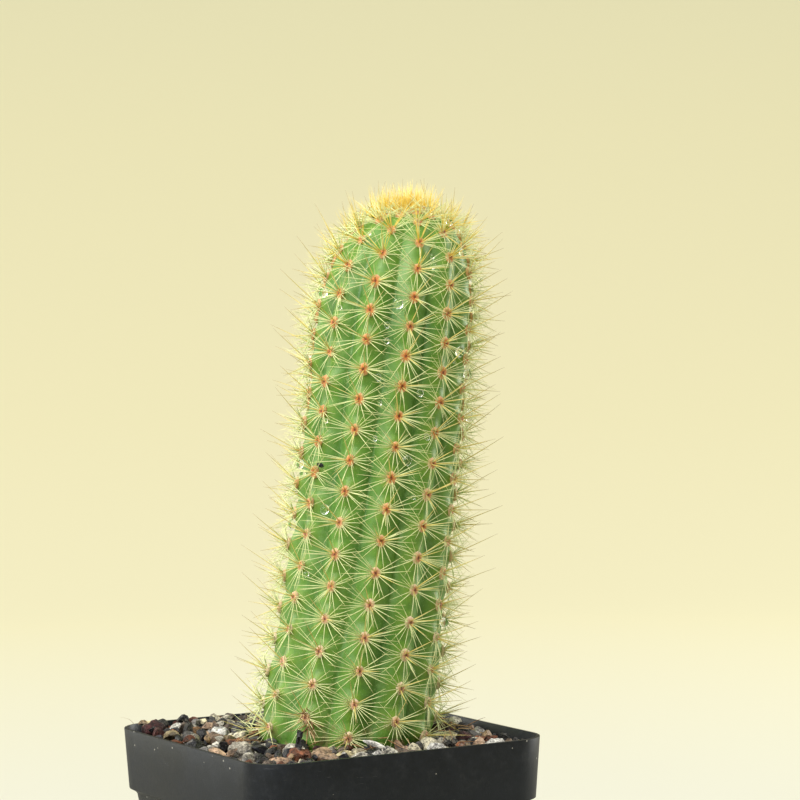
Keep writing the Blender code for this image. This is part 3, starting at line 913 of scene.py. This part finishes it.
def grit_model(seed):
    """One small broken stone a unit across."""
    rng = random.Random(seed)
    deselect()
    bpy.ops.mesh.primitive_ico_sphere_add(subdivisions=2, radius=0.5)
    grit = added()
    facets = []
    for _ in range(9):
        facets.append((Vector((rng.uniform(-1, 1) for _ in range(3))).normalized(), rng.uniform(0.20, 0.37)))
    for v in grit.data.vertices:
        v.co *= 1 + 0.30 * noise.noise(v.co * 4.3 + Vector((seed, 0, 0)))
        for normal, reach in facets:
            past = v.co.dot(normal) - reach
            if past > 0:
                v.co -= normal * past
        v.co *= 1.35
    edit_all()
    bpy.ops.mesh.dissolve_limited(angle_limit=math.radians(5))
    edit_done()
    smooth(grit, 20)
    return grit


class HeightMap:
    """Height of the gravel over the bed, cell by cell, as it fills."""

    def __init__(self):
        self.cells = int(BED_HALF * 2 / HEIGHT_CELL) + 1
        self.axis = np.linspace(-BED_HALF, BED_HALF, self.cells)
        self.height = np.full((self.cells, self.cells), MIX_LEVEL)

    def window(self, x, y, reach):
        low_x, high_x = np.searchsorted(self.axis, (x - reach, x + reach))
        low_y, high_y = np.searchsorted(self.axis, (y - reach, y + reach))
        xs, ys = np.meshgrid(self.axis[low_x:high_x], self.axis[low_y:high_y], indexing="ij")
        share = 1 - ((xs - x) ** 2 + (ys - y) ** 2) / reach**2
        return (slice(low_x, high_x), slice(low_y, high_y)), share

    def rest_height(self, x, y, reach, half_height):
        """Centre height of a flattened ball laid on the gravel at (x, y)."""
        spot, share = self.window(x, y, reach)
        under = self.height[spot] + half_height * np.sqrt(np.clip(share, 0, None))
        return float(under[share > 0].max()) if (share > 0).any() else MIX_LEVEL

    def add(self, x, y, reach, half_height, centre):
        spot, share = self.window(x, y, reach)
        top = centre + half_height * np.sqrt(np.clip(share, 0, None))
        self.height[spot] = np.where(share > 0, np.maximum(self.height[spot], top), self.height[spot])


def bed_is_free(x, y, reach):
    """True where a stone of this reach misses the pot's wall and the stem."""
    if max(abs(x), abs(y)) > BED_HALF - reach:
        return False
    straight = BED_HALF - BED_CORNER_RADIUS
    corner = Vector((max(0.0, abs(x) - straight), max(0.0, abs(y) - straight)))
    if corner.length > max(0.0, BED_CORNER_RADIUS - reach) and min(corner) > 0:
        return False
    return (Vector((x, y)) - STEM_FOOT).length > STEM_RADIUS + STEM_FLARE + reach * 0.55


def make_grit():
    """Fine gravel between and under the larger stones, poured where the bed is lowest."""
    models = [grit_model(seed) for seed in (3, 5, 8, 13, 21, 34)]
    bed = HeightMap()
    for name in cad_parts:
        if name.split("_")[0] in STONE_LOOKS:
            low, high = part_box(name)
            centre, half = (low + high) / 2, (high - low) / 2
            bed.add(centre.x, centre.y, (half.x + half.y) / 2, half.z, centre.z)
    heaps = {kind: [] for kind in GRIT_SHARES}
    for _ in range(GRIT_COUNT):
        size = RNG.uniform(*GRIT_SIZES) * RNG.uniform(0.75, 1.0)
        reach, half_height = size * 0.46, size * 0.34
        best = None
        for _ in range(12):
            x, y = (RNG.uniform(-BED_HALF, BED_HALF) for _ in range(2))
            if bed_is_free(x, y, reach):
                centre = bed.rest_height(x, y, reach, half_height)
                spare = gravel_level(x, y) - centre
                if spare > 0 and (best is None or spare > best[0]):
                    best = (spare, x, y, centre)
        if best is None:
            continue
        _, x, y, centre = best
        bed.add(x, y, reach, half_height, centre)
        turned = Matrix.Rotation(RNG.uniform(0, 2 * math.pi), 4, "Z")
        tilted = Matrix.Rotation(RNG.gauss(0, 0.45), 4, "X") @ Matrix.Rotation(RNG.gauss(0, 0.45), 4, "Y")
        at = Matrix.Translation((x, y, centre - half_height * 0.25))
        shape = (size, size * RNG.uniform(0.62, 0.95), size * RNG.uniform(0.50, 0.80), 1)
        matrix = at @ turned @ tilted @ Matrix.Diagonal(shape)
        kind = RNG.choices(list(GRIT_SHARES), GRIT_SHARES.values())[0]
        heaps[kind].append((matrix, RNG.choice(models)))
    for kind, heap in heaps.items():
        finish_piece(joined_copies(heap, f"fine_{kind}_grit"), STONE_MATERIALS[kind], kind)
    remove(*models)


def gravel_level(x, y):
    """Highest centre of a grain: the gravel rises towards the far left corner."""
    return GRAVEL_LEVEL + GRAVEL_SLOPE * max(0.0, y - 0.35 * x)


# ---- Litter on the gravel ----


def dry_material():
    """Dead plant fibre: tan to brown along its length and from piece to piece."""
    material, tree, shader = new_material("dry_fibre", Roughness=0.85)
    uv = own_uv(tree)
    grain = noise_value(tree, object_place(tree), 900.0, 4.0, 0.7)
    value = mix_values(tree, 0.5, uv["X"], grain)
    colour = ramp(
        tree, value, (0.22, (0.09, 0.040, 0.018)), (0.50, (0.36, 0.20, 0.090)), (0.80, (0.66, 0.48, 0.27))
    )
    set_inputs(shader, Base_Color=colour, Normal=bump(tree, grain, 0.8, 0.0002))
    return material


def make_fallen_spines():
    """Old spines lying about on the gravel, most of them near the stem."""
    model = spine_model(RADIAL_LENGTH, RADIAL_RADIUS, 0.0008, 4, 3, 0.25)
    placings = []
    while len(placings) < FALLEN_SPINES:
        out, turn = RNG.triangular(0.024, 0.045, 0.027), RNG.uniform(0, 2 * math.pi)
        x, y = STEM_FOOT.x + out * math.cos(turn), STEM_FOOT.y + out * math.sin(turn)
        if max(abs(x), abs(y)) > BED_HALF - 0.004:
            continue
        root = Vector((x, y, gravel_level(x, y) + RNG.uniform(0.0012, 0.0024)))
        direction = Vector((RNG.gauss(0, 1), RNG.gauss(0, 1), RNG.uniform(-0.25, 0.12)))
        size = RNG.uniform(0.55, 1.1)
        placings.append((spine_matrix(root, direction, Vector((0, 0, -1)), size, 1.15), model))
    piece = joined_copies(placings, "fallen_spines")
    remove(model)
    return piece


def make_fibres():
    """Curled remains of a dead offset that hang at the stem's foot, and a hair caught on the rim."""
    curls = [spine_model(FIBRE_LENGTH, FIBRE_RADIUS, bend, 5, 6, 0.45) for bend in (0.0030, -0.0042)]
    placings = []
    for step in range(FIBRE_COUNT):
        root = FIBRE_TOP.lerp(FIBRE_FOOT, step / (FIBRE_COUNT - 1))
        root += Vector((RNG.gauss(0, 0.0004), RNG.gauss(0, 0.0004), 0))
        direction = Vector((RNG.gauss(-0.05, 0.35), RNG.gauss(-0.10, 0.35), -1.0))
        bend_to = Vector((RNG.gauss(0, 1), RNG.gauss(0, 1), -0.3))
        size = RNG.uniform(0.30, 0.62)
        matrix = spine_matrix(root, direction, bend_to, size, RNG.uniform(0.7, 1.2))
        placings.append((matrix, RNG.choice(curls)))
    hair = spine_model(HAIR_LENGTH, HAIR_RADIUS, 0.0040, 4, 6, 0.5)
    placings.append((spine_matrix(HAIR_ROOT, Vector((-0.5, 0.2, 1)), Vector((-1, -0.6, 0)), 0.45, 1), hair))
    piece = joined_copies(placings, "dry_fibres")
    remove(*curls, hair)
    return piece


def make_twig():
    """A short charred twig stuck in the gravel."""
    deselect()
    bpy.ops.mesh.primitive_cylinder_add(vertices=10, radius=TWIG_RADIUS, depth=TWIG_LENGTH)
    twig = added()
    twig.name = "charred_twig"
    edit_all()
    bpy.ops.mesh.subdivide(number_cuts=4)
    edit_done()
    tilted = Matrix.Rotation(math.radians(5), 4, "Y") @ Matrix.Rotation(math.radians(4), 4, "X")
    for v in twig.data.vertices:
        v.co += Vector((v.co.x, v.co.y, v.co.z * 0.1)) * 0.9 * noise.fractal(v.co * 900, 0.7, 2.0, 3)
    twig.data.transform(Matrix.Translation(TWIG_PLACE) @ tilted)
    face_out(twig)
    smooth(twig, 40)
    finish_piece(twig, STONE_MATERIALS["charcoal"], "charcoal")


def make_chip():
    """A thin curved chip of pale stone that lies against the front wall."""
    deselect()
    bpy.ops.mesh.primitive_grid_add(x_subdivisions=16, y_subdivisions=6, size=1.0)
    chip = added()
    chip.name = "pale_chip"
    for v in chip.data.vertices:
        narrow = 1 - 0.75 * abs(v.co.x * 2) ** 2.2
        ragged = 0.08 * noise.noise(Vector((v.co.x * 9, v.co.y * 3, 0)))
        y = v.co.y * narrow + ragged
        arch = 0.16 * math.cos(v.co.x * 3.0) - 0.5 * y * y
        v.co = Vector((v.co.x * CHIP_LENGTH, y * CHIP_WIDTH, arch * CHIP_LENGTH * 0.8))
    apply_modifier(chip, "SOLIDIFY", thickness=CHIP_THICKNESS)
    apply_modifier(chip, "SUBSURF", levels=1, render_levels=1)
    turned = Matrix.Rotation(math.radians(-30), 4, "Z") @ Matrix.Rotation(math.radians(19), 4, "Y")
    turned = turned @ Matrix.Rotation(math.radians(50), 4, "X")
    chip.data.transform(Matrix.Translation(CHIP_PLACE) @ turned)
    layer = chip.data.uv_layers[0]
    layer.data.foreach_set("uv", np.ones(len(chip.data.loops) * 2, np.float32))
    face_out(chip)
    smooth(chip, 50)
    finish_piece(chip, STONE_MATERIALS["pumice"], "pumice")


def make_flake():
    """A black dry flake stuck beside one areole."""
    deselect()
    bpy.ops.mesh.primitive_ico_sphere_add(subdivisions=3, radius=0.5)
    flake = added()
    flake.name = "dry_flake"
    for v in flake.data.vertices:
        v.co *= 1 + 1.1 * noise.noise(v.co * 5.3)
    flake.data.transform(skin_matrix(skin_frame(FLAKE_ALONG, FLAKE_SIDE), FLAKE_SIZE, FLAKE_LIFT))
    smooth(flake, 40)
    finish_piece(flake, STONE_MATERIALS["charcoal"], "charcoal")


def make_litter():
    dry = dry_material()
    finish_piece(make_fallen_spines(), dry, "central_spine")
    finish_piece(make_fibres(), dry, "central_spine")
    make_twig()
    make_chip()
    make_flake()


def finish_mix():
    """The potting mix keeps its solid and gets a gritty surface, dark brown going to near black, the near
    black being painted shade for the gaps between stones.
    """
    material, tree, shader = new_material("gritty_mix")
    place = object_place(tree)
    # Painted shade: the near-black Dark tone stands for the shadow in the gaps between the stones; the dark
    # brown is the soil's own.
    tones = {"Light": (0.060, 0.042, 0.030), "Dark": (0.010, 0.008, 0.007)}
    tone = place_group(tree, TWO_TONE, Vector=place, Patch_Scale=380.0, Fine_Scale=1700.0, **tones)
    specks = place_group(tree, SPECKS, Vector=place, Scale=650.0, Size=0.30, Share=0.16)
    colour = mix(tree, specks["Mask"], tone["Color"], (0.55, 0.50, 0.42))
    rough = ranged(tree, tone["Value"], 0.0, 1.0, 0.80, 0.97)
    set_inputs(shader, Base_Color=colour, Roughness=rough, Normal=bump(tree, tone["Value"], 1.0, 0.0006))
    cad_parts["potting_mix"].material_slots[0].material = material


# ---- Pot ----


def make_pot():
    pot = copy_of_node("pot", "nursery_pot")
    sharp = {"limit_method": "ANGLE", "angle_limit": math.radians(48)}
    apply_modifier(pot, "BEVEL", width=RIM_ROUNDING, segments=2, **sharp)
    smooth(pot, 32)
    finish_piece(pot, pot_material(), "black_plastic", "pot")


def pot_material():
    """Black moulded plastic: fine grain, faint scratches, dust and a few pale splashes."""
    material, tree, shader = new_material(
        "black_moulded_plastic", IOR=1.48, Specular_Tint=(0.84, 0.91, 1.0)
    )
    place = object_place(tree)
    tones = {"Light": (0.010, 0.012, 0.019), "Dark": (0.005, 0.006, 0.010)}
    tone = place_group(tree, TWO_TONE, Vector=place, Patch_Scale=38.0, Fine_Scale=700.0, **tones)
    drawn_out = {"Vector": place, "Scale": (1.0, 1.0, 14.0), "Rotation": (0.5, 0.3, 0.0)}
    stretched = node(tree, "Mapping", drawn_out)
    lines = noise_value(tree, stretched.outputs[0], 130.0, 6.0, 0.75)
    scratch = ranged(tree, lines, 0.66, 0.70)
    specks = place_group(tree, SPECKS, Vector=place, Scale=420.0, Size=0.11, Share=0.16)["Mask"]
    dust = ranged(tree, noise_value(tree, place, 260.0, 7.0, 0.75), 0.52, 0.78, 0.0, 0.07)
    colour = mix(tree, dust, tone["Color"], (0.24, 0.24, 0.25))
    colour = mix(tree, times(tree, scratch, 0.22), colour, (0.32, 0.32, 0.33))
    colour = mix(tree, times(tree, specks, 0.6), colour, (0.62, 0.60, 0.55))
    rough = ranged(tree, tone["Value"], 0.0, 1.0, 0.34, 0.46)
    rough = maths(tree, "ADD", rough, times(tree, dust, 1.2))
    grain = noise_value(tree, place, 2400.0, 2.0, 0.5)
    relief = maths(tree, "SUBTRACT", grain, times(tree, scratch, 0.8))
    set_inputs(shader, Base_Color=colour, Roughness=rough, Normal=bump(tree, relief, 0.25, 0.0001))
    return material


# ---- Surroundings, camera and light ----


def make_bowl():
    """A pale floor that curves up into a wall all round, so that it has no edge in any view. Its colour
    carries painted shading, and it glows, more for the camera than for the light it sheds.
    """
    deselect()
    bpy.ops.mesh.primitive_circle_add(vertices=128, radius=BOWL_FLOOR, fill_type="NGON")
    bowl = added()
    edit_all()
    bpy.ops.mesh.select_mode(type="EDGE")
    reach, level = BOWL_FLOOR, 0.0
    turns = [math.pi / 2 * step / 14 for step in range(1, 15)]
    rings = [(BOWL_FLOOR + BOWL_COVE * math.sin(t), BOWL_COVE * (1 - math.cos(t))) for t in turns]
    for next_reach, next_level in (*rings, (BOWL_FLOOR + BOWL_COVE, BOWL_HEIGHT)):
        bpy.ops.mesh.extrude_edges_move(TRANSFORM_OT_translate={"value": (0, 0, next_level - level)})
        scale = next_reach / reach
        bpy.ops.transform.resize(value=(scale, scale, 1), center_override=(0, 0, next_level))
        reach, level = next_reach, next_level
    edit_done()
    bowl.name = "studio_bowl"
    bowl.data.shade_smooth()
    material, tree, shader = new_material("cream_paper", Roughness=0.9)
    place = object_place(tree)
    height = height_of(tree, place)
    out = node(tree, "VectorMath", {0: place}, operation="LENGTH").outputs["Value"]
    near = ranged(tree, out, 0.40, 1.05, 0.0, 0.22)
    # Painted shading: greyer within about 0.4 m of the middle, brightest at the wall's foot, darker and
    # yellower up the wall.
    cream = ramp(
        tree,
        maths(tree, "ADD", near, ranged(tree, height, 0.0, 0.60, 0.0, 0.78)),
        (0.0, (0.76, 0.755, 0.60)),
        (0.22, (0.90, 0.85, 0.55)),
        (0.36, (0.89, 0.835, 0.52)),
        (0.67, (0.86, 0.81, 0.50)),
        (1.0, (0.80, 0.77, 0.49)),
    )
    # Painted glow: the bowl emits its colour, strong for camera and transmission rays and faint for the
    # rest.
    path = node(tree, "LightPath").outputs
    seen = maths(tree, "MAXIMUM", path["Is Camera Ray"], path["Is Transmission Ray"])
    glow = ranged(tree, seen, 0.0, 1.0, GLOW_UNSEEN, GLOW_SEEN)
    lit = mix(tree, 1.0, cream, (0.34, 0.34, 0.36), "MULTIPLY")
    set_inputs(shader, Base_Color=lit, Emission_Color=cream, Emission_Strength=glow)
    bowl.data.materials.append(material)


def make_camera():
    data = bpy.data.cameras.new("camera")
    data.lens = CAMERA_LENS
    data.sensor_width = 36
    data.clip_end = 20
    camera = new_object("camera", data)
    heading = CAMERA_HEADING.normalized()
    forward = heading * math.cos(CAMERA_PITCH) + Vector((0, 0, -math.sin(CAMERA_PITCH)))
    right = heading.cross(Vector((0, 0, 1))).normalized()
    up = right.cross(forward)
    rolled_right = right * math.cos(CAMERA_ROLL) - up * math.sin(CAMERA_ROLL)
    rolled_up = up * math.cos(CAMERA_ROLL) + right * math.sin(CAMERA_ROLL)
    turned = Matrix((rolled_right, rolled_up, -forward)).transposed().to_4x4()
    camera.matrix_world = Matrix.Translation(CAMERA_PLACE) @ turned
    bpy.context.scene.camera = camera


def add_light(name, right, towards, height, width, length, power, colour):
    """A soft panel placed from the pot by camera-right, towards-camera and height, facing the plant."""
    heading = CAMERA_HEADING.normalized()
    side = heading.cross(Vector((0, 0, 1)))
    place = side * right - heading * towards + Vector((0, 0, height))
    data = bpy.data.lights.new(name, "AREA")
    data.shape = "RECTANGLE"
    data.size, data.size_y = width, length
    data.energy = power
    data.color = colour
    light = new_object(name, data)
    aim = LIGHT_AIM - place
    light.matrix_world = Matrix.Translation(place) @ aim.to_track_quat("-Z", "Y").to_matrix().to_4x4()
    light.visible_camera = False


def make_light():
    scene = bpy.context.scene
    scene.view_settings.view_transform = "Standard"
    world = bpy.data.worlds.new("soft_daylight")
    scene.world = world
    world.use_nodes = True
    background = world.node_tree.nodes["Background"]
    background.inputs["Color"].default_value = (1.0, 0.97, 0.90, 1.0)
    background.inputs["Strength"].default_value = 0.30
    for name, settings in LIGHTS.items():
        add_light(name, *settings)


def main():
    for kind in STONE_LOOKS:
        STONE_MATERIALS[kind] = stone_material(kind)
    make_camera()
    make_light()
    make_bowl()
    make_pot()
    finish_mix()
    finish_stones()
    make_grit()
    make_skin()
    make_areoles_and_spines()
    make_drops()
    make_litter()


main()
